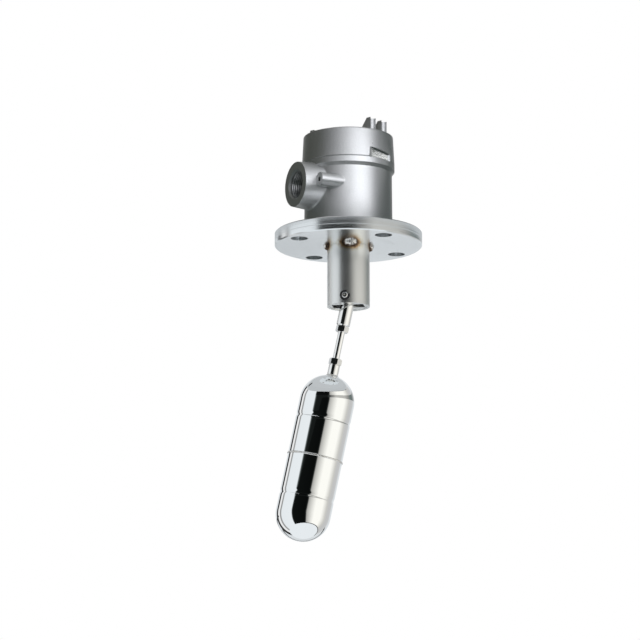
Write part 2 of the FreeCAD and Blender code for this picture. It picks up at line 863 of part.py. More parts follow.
def collar_and_neck(body, wall_top):
    """Turn the neck down above the seam and add the bevelled collar under it."""
    far = collar_radius + s.overrun
    groove(body, [(neck_radius, housing_top), (far, housing_top), (far, neck_top + s.overrun),
                  (neck_radius - s.overrun, neck_top + s.overrun), (neck_radius - s.overrun, neck_top),
                  (neck_radius, neck_top - s.overrun)], "Neck")
    collar_low = housing_top - s.collar_height
    bevel_low = collar_low - s.collar_bevel
    revolve(body, [(chamber_radius, bevel_low), (wall_top, bevel_low), (collar_radius, collar_low),
                   (collar_radius, housing_top - s.seam_chamfer),
                   (collar_radius - s.seam_chamfer, housing_top), (chamber_radius, housing_top)],
            "Collar")


def chamber(body):
    """The round space inside, narrower at the neck, with a rounded corner at the floor."""
    corner = s.chamber_corner
    neck_inner = neck_radius - s.neck_wall
    high = neck_top + s.overrun
    groove(body, [
        (0, chamber_floor), (chamber_radius - corner, chamber_floor, chamber_radius - corner),
        (chamber_radius, chamber_floor + corner), (chamber_radius, housing_top - s.collar_height),
        (neck_inner, housing_top), (neck_inner, high), (0, high)], "Chamber")


def conduit_boss(body):
    """A drafted round boss that points along the body's own X."""
    boss = body.newObject("PartDesign::AdditiveCone", "ConduitBoss")
    start = housing_radius / 2
    lean = (s.conduit_root_diameter - s.conduit_diameter) / 2 / s.conduit_stand_out
    bind(boss, "Radius1", s.conduit_diameter / 2 + lean * (conduit_reach - start))
    bind(boss, "Radius2", s.conduit_diameter / 2)
    bind(boss, "Height", conduit_reach - start)
    boss.AttachmentSupport = [(origin_plane(body, "YZ_Plane"), "")]
    boss.MapMode = "FlatFace"
    bind(boss, "AttachmentOffset.Base.z", start)
    bind(boss, "AttachmentOffset.Base.y", conduit_height)


def earth_boss(body):
    """The smaller boss beside the conduit boss, for an earth screw."""
    start = housing_radius / 2
    boss = new_sketch(body, "EarthBossSketch", "YZ_Plane", start)
    circle(boss, earth_boss_offset, conduit_height, s.earth_boss_diameter)
    extrude(body, "Pad", boss, earth_boss_reach - start, "EarthBoss")


def earth_hole(body):
    hole = new_sketch(body, "EarthHoleSketch", "YZ_Plane", earth_boss_reach)
    circle(hole, earth_boss_offset, conduit_height, s.earth_hole_diameter)
    extrude(body, "Pocket", hole, s.earth_hole_depth, "EarthHole")


def conduit_bore(body):
    """The conduit's tapped hole, at its minor diameter, with a chamfered mouth."""
    hole = new_sketch(body, "ConduitHoleSketch", "YZ_Plane", conduit_reach)
    circle(hole, 0, conduit_height, s.conduit_thread_minor)
    extrude(body, "Pocket", hole, conduit_reach - housing_radius / 2, "ConduitHole")
    mouth = body.newObject("PartDesign::SubtractiveCone", "ConduitMouth")
    bind(mouth, "Radius1", s.conduit_thread_minor / 2)
    bind(mouth, "Radius2", s.conduit_mouth / 2)
    bind(mouth, "Height", s.conduit_mouth_depth)
    mouth.AttachmentSupport = [(origin_plane(body, "YZ_Plane"), "")]
    mouth.MapMode = "FlatFace"
    bind(mouth, "AttachmentOffset.Base.z", conduit_reach - s.conduit_mouth_depth)
    bind(mouth, "AttachmentOffset.Base.y", conduit_height)


def screw_holes(body):
    """The holes in the floor for the screws that hold the housing on the flange."""
    holes = new_sketch(body, "ScrewHoleSketch", "XY_Plane", chamber_floor)
    reach = housing_screw_radius * math.sqrt(0.5)
    circle(holes, reach, reach, s.housing_screw_diameter + s.screw_hole_gap)
    hole = extrude(body, "Pocket", holes, s.housing_floor, "ScrewHole")
    ring_pattern(body, hole, s.housing_screw_count, "ScrewHoles")


def floor_taps(body):
    """The tapped holes in the floor for the bracket's screws and the inner earth screw."""
    taps = new_sketch(body, "FloorTapSketch", "XY_Plane", chamber_floor)
    reach = bracket_screw_reach
    for side in (-1, 1):
        circle(taps, reach * cosine(-s.conduit_angle) * side, reach * sine(-s.conduit_angle) * side,
               s.switch_screw_diameter)
    circle(taps, 0, chamber_radius - s.earth_screw_inset, s.earth_screw_diameter)
    extrude(body, "Pocket", taps, s.housing_floor - s.tap_floor / 2, "FloorTaps")


def ring_seat(body):
    """The groove in the underside that holds the base sealing ring."""
    middle = housing_radius - s.base_ring_inset
    half = s.base_ring_section / 2
    groove(body, [
        (middle - half, flange_top), (middle + half, flange_top),
        (middle + half, flange_top + s.base_ring_section),
        (middle - half, flange_top + s.base_ring_section)], "RingSeat")


def sealing_ring(name, circle_radius, section, height):
    ring = doc.addObject("Part::Torus", name)
    bind(ring, "Radius1", circle_radius)
    bind(ring, "Radius2", section / 2)
    return place(ring, (0, 0, height))


def base_o_ring():
    return sealing_ring("base_o_ring", housing_radius - s.base_ring_inset, s.base_ring_section,
                        flange_top + s.base_ring_section / 2)


def cover_o_ring():
    return sealing_ring("cover_o_ring", neck_radius + s.cover_ring_section / 2 + s.cover_ring_gap / 2,
                        s.cover_ring_section, housing_top + s.cover_ring_section / 2 + s.cover_ring_gap / 2)


def cap_screw(name, x, y, under_head, diameter, length, head, head_height, socket):
    """A screw with a round head and a hexagon socket, standing on a level face."""
    shank = cylinder(name + "_shank", diameter / 2, length, (x, y, under_head - length))
    top = cylinder(name + "_head", head / 2, head_height, (x, y, under_head))
    hexagon = doc.addObject("Part::Prism", name + "_socket")
    hexagon.Polygon = 6
    bind(hexagon, "Circumradius", socket / math.sqrt(3))
    bind(hexagon, "Height", head_height)
    place(hexagon, (x, y, under_head + head_height / 2))
    return cut(name, fused(name + "_blank", [shank, top]), [hexagon])


def housing_screws():
    """The socket head screws inside the housing that hold it on the flange."""
    screws = []
    reach = housing_screw_radius
    for number in range(int(s.housing_screw_count.value)):
        turn = s.conduit_angle + 45 + 360 / s.housing_screw_count * number
        screws.append(cap_screw(
            f"HousingScrew{number}", reach * cosine(turn), reach * sine(turn), chamber_floor,
            s.housing_screw_diameter, s.housing_floor + s.housing_screw_depth,
            s.housing_screw_head, s.housing_screw_diameter, s.hex_socket))
    return group("housing_screws", screws)


def housing_cover():
    """The cast screw cap: threaded inside, with fins to turn it by and notches for a spanner."""
    body = new_body("housing_cover")
    low = collar_radius
    high = cover_top_radius
    edge = s.cover_edge_radius
    step = cover_top_radius - s.cover_top_shoulder
    crown = cover_top + s.cover_top_step
    thread = neck_radius + s.thread_gap
    seat = neck_radius + s.cover_ring_section + s.cover_ring_gap
    seat_top = housing_top + s.cover_ring_section + s.cover_ring_gap
    ceiling = cover_top - s.cover_wall
    corner = s.cover_corner
    revolve(body, [
        (seat, housing_top), (low - s.seam_chamfer, housing_top), (low, housing_top + s.seam_chamfer),
        (high, cover_top - edge, high - edge),
        (high - edge, cover_top), (step + s.cover_top_step / 2, cover_top), (step, crown),
        (0, crown), (0, ceiling), (thread - corner, ceiling, thread - corner),
        (thread, ceiling - corner),
        (thread, seat_top), (seat, seat_top)], "Cap")
    cover_fins(body)
    spanner_notches(body)
    return place(body, turn=s.fin_angle)


def cover_fins(body):
    """Two opposite pairs of fins that stand on the rim of the cap."""
    half = s.fin_thickness / 2
    offset = s.fin_spacing / 2
    rim = cover_top_radius - s.cover_edge_radius / 4
    nose = root(rim * rim - offset * offset) - half
    run = s.fin_height / tangent(s.fin_slope)
    inner = nose + half - s.fin_top_length
    foot = inner - run
    plan = new_sketch(body, "FinPlan", "XY_Plane", cover_top)
    for across in (-offset, offset):
        outline(plan, [(foot, across - half), (nose, across - half, nose),
                       (nose, across + half), (foot, across + half)])
    fins = extrude(body, "Pad", plan, s.fin_height, "Fins")
    slope = new_sketch(body, "FinSlope", "XZ_Plane")
    top = cover_top + s.fin_height
    low = cover_top + s.cover_top_step
    high = top + s.overrun
    outline(slope, [(foot, low), (inner, top), (inner, high), (foot - s.overrun, high),
                    (foot - s.overrun, low)])
    trim = extrude(body, "Pocket", slope, s.fin_spacing * 2, "FinSlopes", both_sides=True)
    axis = origin_plane(body, "Z_Axis")
    pattern = body.newObject("PartDesign::PolarPattern", "FinPairs")
    pattern.Originals = [fins, trim]
    pattern.Axis = (axis, [""])
    pattern.Angle = 360
    pattern.Occurrences = 2
    body.Tip = pattern


def spanner_notches(body):
    """Two notches in the cap's lower rim, under the fins, for a hook spanner."""
    sketch = new_sketch(body, "NotchSketch", "YZ_Plane", collar_radius - s.notch_depth)
    reach = collar_radius
    low = housing_top - s.overrun
    outline(sketch, [
        (-reach, low), (s.notch_step_side, low),
        (s.notch_step_side, housing_top + s.notch_low_height),
        (-reach, housing_top + s.notch_high_height)])
    notch = extrude(body, "Pocket", sketch, reach, "Notch", reverse=True)
    ring_pattern(body, notch, as_size(2), "Notches")


def bracket_hole_places():
    return [-bracket_screw_reach, bracket_screw_reach]


def switch_bracket():
    """The folded sheet bracket on the housing floor that carries lever, switch and terminals."""
    low = chamber_floor
    sheet_top = low + s.bracket_sheet
    half_length = bracket_half_length
    half_width = s.bracket_base_width / 2
    ear_inner = s.lever_thickness / 2 + s.ear_clearance
    ear_outer = ear_inner + s.bracket_sheet
    web_near = s.switch_width / 2
    web_far = web_near + s.bracket_sheet
    web_near_end = switch_face - s.bracket_sheet
    web_end = switch_face + s.switch_depth + s.overrun
    shelf_top = shelf_height + s.bracket_sheet
    parts = [
        block("BracketBase", (-half_length, -half_width, low), (half_length, half_width, sheet_top)),
        block("BracketWeb", (web_near_end, web_near, low), (web_end, web_far, shelf_top)),
        block("BracketShelf", (-s.block_length / 2, -s.block_width / 2, shelf_height),
              (s.block_length / 2, web_far, shelf_top)),
    ]
    for side in (-1, 1):
        ends = sorted([ear_inner * side, ear_outer * side], key=lambda size: size.value)
        parts.append(block(f"BracketEar{side + 1}", (-s.ear_width / 2, ends[0], low),
                           (s.ear_width / 2, ends[1], low + s.ear_height)))
    opening = s.lever_thickness / 2 + s.ear_clearance / 2
    tools = [
        block("BracketOpening", (-s.bracket_opening, -opening, low - s.overrun),
              (s.bracket_opening, opening, sheet_top + s.overrun)),
        cylinder("BracketPinHole", s.lever_pin_diameter / 2, (ear_outer + s.overrun) * 2,
                 (0, -ear_outer - s.overrun, lever_pivot[2]), (0, 1, 0)),
    ]
    for number, x in enumerate(bracket_hole_places()):
        tools.append(cylinder(f"BracketHole{number}", s.switch_screw_diameter / 2,
                              s.bracket_sheet * 3, (x, 0, low - s.bracket_sheet)))
    for number, (x, z) in enumerate(switch_hole_places()):
        tools.append(cylinder(f"BracketSwitchHole{number}", s.switch_screw_diameter / 2,
                              s.bracket_sheet * 3, (x, web_near - s.bracket_sheet, z), (0, 1, 0)))
    return cut("switch_bracket", fused("BracketBlank", parts), tools)


def switch_hole_places():
    """The micro switch's two mounting holes, on a diagonal."""
    inset = s.switch_hole_inset
    near = (switch_face + inset, switch_bottom + inset)
    far = (switch_face + s.switch_depth - inset, switch_bottom + s.switch_height - inset)
    return [near, far]


def bracket_screws():
    """The two screws through the bracket's base into the housing floor."""
    screws = []
    for number, x in enumerate(bracket_hole_places()):
        screws.append(cap_screw(
            f"BracketScrew{number}", x, as_size(0), chamber_floor + s.bracket_sheet,
            s.switch_screw_diameter, s.bracket_sheet + s.housing_floor - s.tap_floor,
            s.switch_screw_diameter * 1.8, s.switch_screw_diameter * 0.8,
            s.switch_screw_diameter * 0.8))
    return group("bracket_screws", screws)


def lever_pin():
    """The plain pin that the switch lever hangs on."""
    half = s.lever_thickness / 2 + s.ear_clearance + s.bracket_sheet + s.overrun
    return cylinder("lever_pin", s.lever_pin_diameter / 2, half * 2, (0, -half, lever_pivot[2]), (0, 1, 0))


def on_lever(piece):
    """Hang a piece made about its own Z axis on the tilted switch lever."""
    return place(piece, lever_pivot, (0, 1, 0), lever_rest)


def switch_lever():
    """The lever: a bar in the well below its pin, and a finger above it for the micro switch."""
    half = s.lever_width / 2
    side = s.lever_thickness / 2
    body = new_body("switch_lever")
    plan = new_sketch(body, "LeverSketch", "XZ_Plane")
    finger_low = s.lever_finger_rise - s.lever_finger_height
    outline(plan, [
        (-half, -s.lever_drop), (half, -s.lever_drop), (half, finger_low),
        (finger_reach, finger_low), (finger_reach, s.lever_finger_rise),
        (-half, s.lever_finger_rise)])
    extrude(body, "Pad", plan, s.lever_thickness, "Bar", both_sides=True)
    bore = new_sketch(body, "LeverBoreSketch", "XZ_Plane")
    circle(bore, 0, 0, s.lever_pin_diameter + s.pin_running_gap * 2)
    extrude(body, "Pocket", bore, s.lever_thickness + s.overrun, "LeverBore", both_sides=True)
    return on_lever(body)


def switch_magnet():
    """The magnet under the lever, inside the partition well."""
    body = new_body("switch_magnet")
    radius = s.switch_magnet_diameter / 2
    top = -s.lever_drop
    low = top - s.switch_magnet_height
    revolve(body, [(0, low), (radius - 0.5, low), (radius, low + 0.5), (radius, top - 0.5),
                   (radius - 0.5, top), (0, top)])
    return on_lever(body)


def button_tip():
    """Where the lever's finger holds the button pressed at rest."""
    reach = finger_reach * cosine(lever_rest) + s.lever_finger_rise * sine(lever_rest)
    return reach + s.button_gap


def button_height():
    rise = (s.lever_finger_rise - s.lever_finger_height / 2) * cosine(lever_rest)
    return lever_pivot[2] + rise - finger_reach * sine(lever_rest)


def micro_switch():
    """The moulded case of the micro switch, with its mounting holes and the button's hole."""
    half = s.switch_width / 2
    face = switch_face
    case = block("SwitchCase", (face, -half, switch_bottom),
                 (face + s.switch_depth, half, switch_bottom + s.switch_height))
    tools = [cylinder("SwitchButtonHole", s.button_diameter / 2 + s.pin_running_gap,
                      s.button_length + s.overrun, (face - s.overrun, 0, button_height()), (1, 0, 0))]
    for number, (x, z) in enumerate(switch_hole_places()):
        tools.append(cylinder(f"SwitchHole{number}", s.switch_screw_diameter / 2,
                              (half + s.overrun) * 2, (x, -half - s.overrun, z), (0, 1, 0)))
    return cut("micro_switch", case, tools)


def switch_button():
    """The button of the micro switch, pressed at rest."""
    body = new_body("switch_button")
    radius = s.button_diameter / 2
    revolve(body, [(0, 0), (radius - 0.4, 0), (radius, 0.4), (radius, s.button_length),
                   (0, s.button_length)])
    return place(body, (button_tip(), 0, button_height()), (0, 1, 0), 90)


def switch_blades():
    """The three blade terminals on the back of the micro switch."""
    back = switch_face + s.switch_depth
    middle = switch_bottom + s.switch_height / 2
    half = s.blade_width / 2
    blades = []
    for number in (-1, 0, 1):
        low = middle + s.blade_pitch * number - s.blade_thickness / 2
        blade = block(f"Blade{number + 1}", (back, -half, low),
                      (back + s.blade_length, half, low + s.blade_thickness))
        eye = cylinder(f"BladeEye{number + 1}", s.blade_width / 5, s.blade_thickness * 3,
                       (back + s.blade_length * 0.6, 0, low - s.blade_thickness))
        blades.append(cut(f"SwitchBlade{number + 1}", blade, [eye]))
    return group("switch_blades", blades)


def micro_switch_screws():
    """The two screws that hold the micro switch on the bracket's web."""
    face = -s.switch_width / 2
    head = s.switch_screw_diameter * 0.8
    screws = []
    for number, (x, z) in enumerate(switch_hole_places()):
        shank = cylinder(f"SwitchScrewShank{number}", s.switch_screw_diameter / 2,
                         s.switch_width + s.bracket_sheet + s.overrun, (x, face, z), (0, 1, 0))
        top = cylinder(f"SwitchScrewHead{number}", s.switch_screw_diameter * 0.9, head,
                       (x, face - head, z), (0, 1, 0))
        screws.append(fused(f"SwitchScrew{number}", [shank, top]))
    return group("micro_switch_screws", screws)


def terminal_places():
    count = int(s.terminal_count.value)
    middle = (count - 1) / 2
    return [s.terminal_pitch * (number - middle) for number in range(count)]


def terminal_block():
    """The moulded terminal block, with a wall between each two terminals."""
    low = shelf_height + s.bracket_sheet
    high = low + s.block_height
    deck = high - s.block_height * 0.4
    half_length = s.block_length / 2
    half_width = s.block_width / 2
    parts = [block("BlockDeck", (-half_length, -half_width, low), (half_length, half_width, deck))]
    wall = s.block_wall / 2
    places = terminal_places()
    walls = [x - s.terminal_pitch / 2 for x in places] + [places[-1] + s.terminal_pitch / 2]
    for number, x in enumerate(walls):
        parts.append(block(f"BlockWall{number}", (x - wall, -half_width, deck - 1),
                           (x + wall, half_width, high)))
    tools = []
    for number, (x, y) in enumerate(terminal_screw_places()):
        tools.append(cylinder(f"BlockHole{number}", s.switch_screw_diameter / 2,
                              s.block_height * 0.4, (x, y, deck - s.block_height * 0.4)))
    return cut("terminal_block", fused("BlockBlank", parts), tools)


def terminal_screw_places():
    half = s.terminal_row_spacing / 2
    return [(x, y) for x in terminal_places() for y in (-half, half)]


def terminal_plates():
    """The brass strip under each pair of terminal screws."""
    deck = shelf_height + s.bracket_sheet + s.block_height * 0.6
    half = s.terminal_screw_head / 2
    wide = s.terminal_row_spacing / 2 + half
    plates = []
    for number, x in enumerate(terminal_places()):
        plate = block(f"TerminalPlate{number}", (x - half, -wide, deck),
                      (x + half, wide, deck + s.terminal_plate_thickness))
        holes = [cylinder(f"TerminalPlateHole{number}{side + 1}", s.switch_screw_diameter / 2,
                          s.terminal_plate_thickness * 3,
                          (x, s.terminal_row_spacing / 2 * side, deck - s.terminal_plate_thickness))
                 for side in (-1, 1)]
        plates.append(cut(f"TerminalStrip{number}", plate, holes))
    return group("terminal_plates", plates)


def terminal_screws():
    """The slotted screws of the terminal block."""
    deck = shelf_height + s.bracket_sheet + s.block_height * 0.6 + s.terminal_plate_thickness
    head_height = s.terminal_screw_head * 0.4
    length = s.block_height * 0.4 + s.terminal_plate_thickness - 0.5
    screws = []
    for number, (x, y) in enumerate(terminal_screw_places()):
        shank = cylinder(f"TerminalShank{number}", s.switch_screw_diameter / 2, length,
                         (x, y, deck - length))
        head = cylinder(f"TerminalHead{number}", s.terminal_screw_head / 2 - 0.2, head_height,
                        (x, y, deck))
        slot = block(f"TerminalSlot{number}",
                     (x - s.terminal_screw_head, y - 0.4, deck + head_height / 2),
                     (x + s.terminal_screw_head, y + 0.4, deck + head_height + 1))
        screws.append(cut(f"TerminalScrew{number}", fused(f"TerminalBlank{number}", [shank, head]),
                          [slot]))
    return group("terminal_screws", screws)


def inner_earth_screw():
    """The earth screw on the floor of the housing, a quarter turn from the conduit."""
    turn = s.conduit_angle + 90
    reach = chamber_radius - s.earth_screw_inset
    return cap_screw("inner_earth_screw", reach * cosine(turn), reach * sine(turn), chamber_floor,
                     s.earth_screw_diameter, s.housing_floor - s.tap_floor, s.earth_screw_diameter * 2,
                     s.earth_screw_diameter * 0.7, s.earth_screw_diameter * 0.8)


SUB_PARTS = [
    flange(), partition_well(), pivot_sleeve(), sleeve_welds(), arm_guide(), pivot_pin(),
    pin_clip("pin_clip_front", -1), pin_clip("pin_clip_rear", 1), pivot_spacers(),
    float_arm(), magnet_holder(), arm_magnet(),
    lock_nut("lock_nut_upper", -s.arm_reach), float_rod(),
    lock_nut("lock_nut_lower", s.nut_height - s.lower_nut_reach), float_stem(),
    float_half("float_shell_upper", 1), float_half("float_shell_lower", -1),
    float_weld_ring(), stem_weld(),
    housing_body(), base_o_ring(), housing_screws(), cover_o_ring(), housing_cover(),
    switch_bracket(), bracket_screws(), lever_pin(), switch_lever(), switch_magnet(),
    micro_switch(), switch_button(), switch_blades(), micro_switch_screws(),
    terminal_block(), terminal_plates(), terminal_screws(), inner_earth_screw(),
]


def check_document():
    """Stop if any object failed to build or any sub-part is not a sound solid."""
    for item in doc.Objects:
        if "Invalid" in item.State or "Error" in item.State:
            raise RuntimeError(f"{item.Label} did not build: {item.State}")
    for piece in SUB_PARTS:
        shape = piece.Shape
        if shape.isNull() or not shape.isValid() or not shape.Solids:
            raise RuntimeError(f"{piece.Label} is not a sound solid")


doc.recompute()
check_document()
os.makedirs("parts", exist_ok=True)
for sub_part in SUB_PARTS:
    sub_part.Shape.exportStep(f"parts/{sub_part.Label}.step")
    print(sub_part.Label, len(sub_part.Shape.Solids), round(sub_part.Shape.Volume, 1))
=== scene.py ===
import math

import bpy
from mathutils import Matrix, Vector


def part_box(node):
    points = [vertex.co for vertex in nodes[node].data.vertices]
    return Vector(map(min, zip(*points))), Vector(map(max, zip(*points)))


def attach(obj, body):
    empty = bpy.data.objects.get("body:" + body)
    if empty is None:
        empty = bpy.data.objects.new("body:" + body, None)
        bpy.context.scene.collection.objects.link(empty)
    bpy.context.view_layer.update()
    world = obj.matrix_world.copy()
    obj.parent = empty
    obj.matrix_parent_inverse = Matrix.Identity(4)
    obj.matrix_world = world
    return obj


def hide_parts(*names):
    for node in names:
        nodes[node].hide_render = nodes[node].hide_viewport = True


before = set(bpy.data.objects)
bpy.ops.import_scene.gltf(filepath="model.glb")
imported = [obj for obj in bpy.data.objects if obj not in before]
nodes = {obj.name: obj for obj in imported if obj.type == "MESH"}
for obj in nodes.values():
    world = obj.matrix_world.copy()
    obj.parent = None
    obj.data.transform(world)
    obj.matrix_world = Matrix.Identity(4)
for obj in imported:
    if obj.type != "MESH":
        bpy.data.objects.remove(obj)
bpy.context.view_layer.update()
scene = bpy.context.scene
scene.view_settings.view_transform = "Standard"

# The camera
# A long lens looks slightly up at the switch from its front right, as in the photograph.
# The origin, at the middle of the flange's lower face, lands right of and above the middle.
camera_azimuth = math.radians(10.0)
camera_elevation = math.radians(-12.2)
camera_distance = 3.0
picture_width = 640
pixels_per_metre = 1134.0
origin_right_of_middle = 28.4
origin_above_middle = 73.5
sensor_width = 36.0

backward = Vector((math.sin(camera_azimuth) * math.cos(camera_elevation),
                   -math.cos(camera_azimuth) * math.cos(camera_elevation),
                   math.sin(camera_elevation)))
rightward = Vector((math.cos(camera_azimuth), math.sin(camera_azimuth), 0.0))
upward = backward.cross(rightward)
camera_data = bpy.data.cameras.new("camera")
camera_data.sensor_width = sensor_width
camera_data.lens = pixels_per_metre * camera_distance * sensor_width / picture_width
camera = bpy.data.objects.new("camera", camera_data)
camera.location = (backward * camera_distance
                   - rightward * origin_right_of_middle / pixels_per_metre
                   - upward * origin_above_middle / pixels_per_metre)
camera.rotation_euler = Matrix((rightward, upward, backward)).transposed().to_euler()
scene.collection.objects.link(camera)
scene.camera = camera

# The studio
# A pale floor under a white room, with soft lamps for the light.
# Curved cards stand round the switch for the bright metal to mirror, and nothing else sees them.
floor_height = -0.95
floor_radius = 6.0
floor_colour = (0.86, 0.86, 0.85, 1.0)
room_white = (1.0, 1.0, 1.0, 1.0)
room_shade = (0.62, 0.63, 0.64, 1.0)
cool_white = (0.93, 0.97, 1.0)
warm_white = (1.0, 0.985, 0.93)
neutral = (1.0, 1.0, 1.0)
sea_grey = (0.84, 1.0, 0.97)
olive_grey = (0.95, 1.0, 0.88)


def towards(direction, distance, height=0.0):
    """A place seen from the switch: direction is degrees right of the camera."""
    turn = camera_azimuth + math.radians(direction)
    return Vector((math.sin(turn) * distance, -math.cos(turn) * distance, height))


def link_mesh(name, vertices, faces, smooth=True):
    mesh = bpy.data.meshes.new(name)
    mesh.from_pydata(vertices, [], faces)
    mesh.polygons.foreach_set("use_smooth", [smooth] * len(mesh.polygons))
    piece = bpy.data.objects.new(name, mesh)
    scene.collection.objects.link(piece)
    return piece


def card_ring(name, stops, rings, start=-180.0, end=180.0):
    """A curved card. stops: (direction, brightness, colour); rings: (radius, height)."""
    steps = max(8, int((end - start) / 1.5))
    vertices = []
    colours = []
    for step in range(steps + 1):
        direction = start + (end - start) * step / steps
        place = max(0, sum(stop[0] <= direction for stop in stops) - 1)
        near, far = stops[place], stops[min(place + 1, len(stops) - 1)]
        share = 0.0 if far[0] == near[0] else (direction - near[0]) / (far[0] - near[0])
        glow = [near[1] * a * (1 - share) + far[1] * b * share for a, b in zip(near[2], far[2])]
        for radius, height in rings:
            vertices.append(towards(direction, radius, height))
            colours.append((*glow, 1.0))
    across = len(rings)
    faces = [(step * across + row, (step + 1) * across + row,
              (step + 1) * across + row + 1, step * across + row + 1)
             for step in range(steps) for row in range(across - 1)]
    cards = link_mesh(name, vertices, faces)
    glow = cards.data.color_attributes.new("glow", "FLOAT_COLOR", "POINT")
    for value, colour in zip(glow.data, colours):
        value.color = colour
    shine(cards, "glow")
    return cards


def shine(cards, attribute=None, colour=neutral, strength=1.0):
    """Let only mirror-like surfaces see these cards."""
    material = bpy.data.materials.new(cards.name)
    material.use_nodes = True
    tree = material.node_tree
    tree.nodes.clear()
    light = tree.nodes.new("ShaderNodeEmission")
    light.inputs["Color"].default_value = (*colour, 1.0)
    light.inputs["Strength"].default_value = strength
    output = tree.nodes.new("ShaderNodeOutputMaterial")
    tree.links.new(light.outputs["Emission"], output.inputs["Surface"])
    if attribute:
        source = tree.nodes.new("ShaderNodeVertexColor")
        source.layer_name = attribute
        tree.links.new(source.outputs["Color"], light.inputs["Color"])
    cards.data.materials.append(material)
    for kind in ("camera", "diffuse", "transmission", "volume_scatter", "shadow"):
        setattr(cards, f"visible_{kind}", False)


# far cards, mirrored by the float, the arm, the sleeve and the flange
far_radius = 1.5
cards_top = 0.93
floor_card_radius = 0.70
left_stops = [
    (-180, 0.78, cool_white), (-143, 0.86, cool_white), (-141, 0.02, neutral), (-128, 0.02, neutral),
    (-126, 0.95, neutral), (-114, 0.95, neutral), (-113, 0.35, neutral), (-105, 0.35, neutral),
    (-102, 0.96, cool_white), (-51, 0.98, cool_white)]
float_stops = left_stops + [
    (-48, 0.03, sea_grey), (-44, 0.006, sea_grey), (5, 0.004, sea_grey), (10, 0.02, sea_grey),
    (13, 0.46, warm_white), (22, 0.66, warm_white), (34, 0.90, warm_white), (46, 1.12, warm_white),
    (78, 1.12, warm_white), (91, 0.90, warm_white), (104, 0.66, warm_white), (118, 0.60, neutral),
    (136, 0.62, neutral), (150, 0.85, cool_white), (180, 0.78, cool_white)]
flange_stops = left_stops + [
    (-47, 0.10, sea_grey), (-42, 0.012, sea_grey), (2, 0.01, sea_grey), (10, 0.05, sea_grey),
    (17, 0.16, neutral), (28, 0.34, warm_white), (38, 0.56, warm_white), (80, 0.54, warm_white),
    (100, 0.34, warm_white), (116, 0.20, sea_grey), (134, 0.20, sea_grey), (150, 0.50, neutral),
    (166, 0.72, cool_white), (180, 0.80, cool_white)]
flange_sees_from, flange_sees_to = 0.14, 0.43
card_ring("low_cards", float_stops, [
    (floor_card_radius, floor_height + 0.01), (far_radius, floor_height + 0.02),
    (far_radius, flange_sees_from)])
card_ring("middle_cards", flange_stops, [(far_radius, flange_sees_from),
                                         (far_radius, flange_sees_to)])
card_ring("top_cards", float_stops, [(far_radius, flange_sees_to), (far_radius, cards_top)])
card_ring("floor_card", [(-180, 0.97, cool_white), (180, 0.97, cool_white)],
          [(0.001, floor_height + 0.012), (floor_card_radius, floor_height + 0.012)])
card_ring("floor_line", [(10, 0.02, neutral), (150, 0.02, neutral)],
          [(floor_card_radius - 0.02, floor_height + 0.02),
           (floor_card_radius + 0.03, floor_height + 0.03)], 10.0, 150.0)
card_ring("back_line", [(-180, 0.02, neutral), (-122, 0.02, neutral)],
          [(far_radius - 0.01, -0.25), (far_radius - 0.01, -0.17)], -180.0, -122.0)
card_ring("under_line", [(140, 0.07, neutral), (225, 0.07, neutral)],
          [(far_radius - 0.01, -0.82), (far_radius - 0.01, -0.64)], 140.0, 225.0)
card_ring("top_line", [(10, 0.02, neutral), (120, 0.02, neutral)],
          [(far_radius - 0.01, cards_top), (far_radius - 0.01, cards_top + 0.07)], 10.0, 120.0)
card_ring("left_line", [(-133, 0.02, neutral), (-122, 0.02, neutral)],
          [(far_radius - 0.2, cards_top), (far_radius - 0.5, 1.5)], -133.0, -122.0)
card_ring("ceiling", [(-180, 0.60, cool_white), (180, 0.60, cool_white)],
          [(far_radius, cards_top + 0.01), (1.2, 1.5), (0.01, 1.7)])

# near cards round the housing: dark beside the camera, with one soft window to its right,
# and grey behind the switch and over it
housing_dark = 0.085
housing_back = 0.5
window_white = (0.95, 0.955, 1.0)
window_top = 0.128
for name, glow, low, high in (("near_cards", 1.0, 0.036, window_top),
                              ("near_cards_above", 0.5, window_top, 0.34)):
    card_ring(name, [
        (-180, housing_back, neutral), (-146, housing_back, neutral),
        (-126, housing_dark, olive_grey), (-62, housing_dark, olive_grey),
        (-36, 0.36 * glow, window_white), (-10, 0.85 * glow, window_white),
        (8, 1.75 * glow, window_white), (24, 2.3 * glow, window_white),
        (42, 2.3 * glow, window_white), (53, 1.15 * glow, window_white),
        (65, 0.32 * glow, window_white), (80, housing_dark, sea_grey),
        (126, housing_dark, sea_grey), (146, housing_back, neutral), (180, housing_back, neutral)],
        [(0.15, low), (0.15, high)])
card_ring("notch_card", [(80, 1.5, neutral), (95, 1.5, neutral)],
          [(0.148, 0.096), (0.148, 0.110)], 80.0, 95.0)
card_ring("near_floor", [(-180, housing_dark, sea_grey), (180, housing_dark, sea_grey)],
          [(0.0665, 0.0132), (0.10, 0.036), (0.15, 0.036)])
card_ring("near_underside", [(-180, 0.62, cool_white), (180, 0.62, cool_white)],
          [(0.0655, 0.0122), (0.10, 0.034), (0.155, 0.034)])
card_ring("near_ceiling", [(-180, housing_back, neutral), (180, housing_back, neutral)],
          [(0.15, 0.34), (0.01, 0.40)])

floor_rim = 96
floor_points = [towards(360.0 * step / floor_rim, floor_radius, floor_height)
                for step in range(floor_rim)]
floor = link_mesh("floor", floor_points, [tuple(reversed(range(floor_rim)))])
floor_paint = bpy.data.materials.new("floor")
floor_paint.use_nodes = True
floor_shader = floor_paint.node_tree.nodes["Principled BSDF"]
floor_shader.inputs["Base Color"].default_value = floor_colour
floor_shader.inputs["Roughness"].default_value = 0.9
floor.data.materials.append(floor_paint)

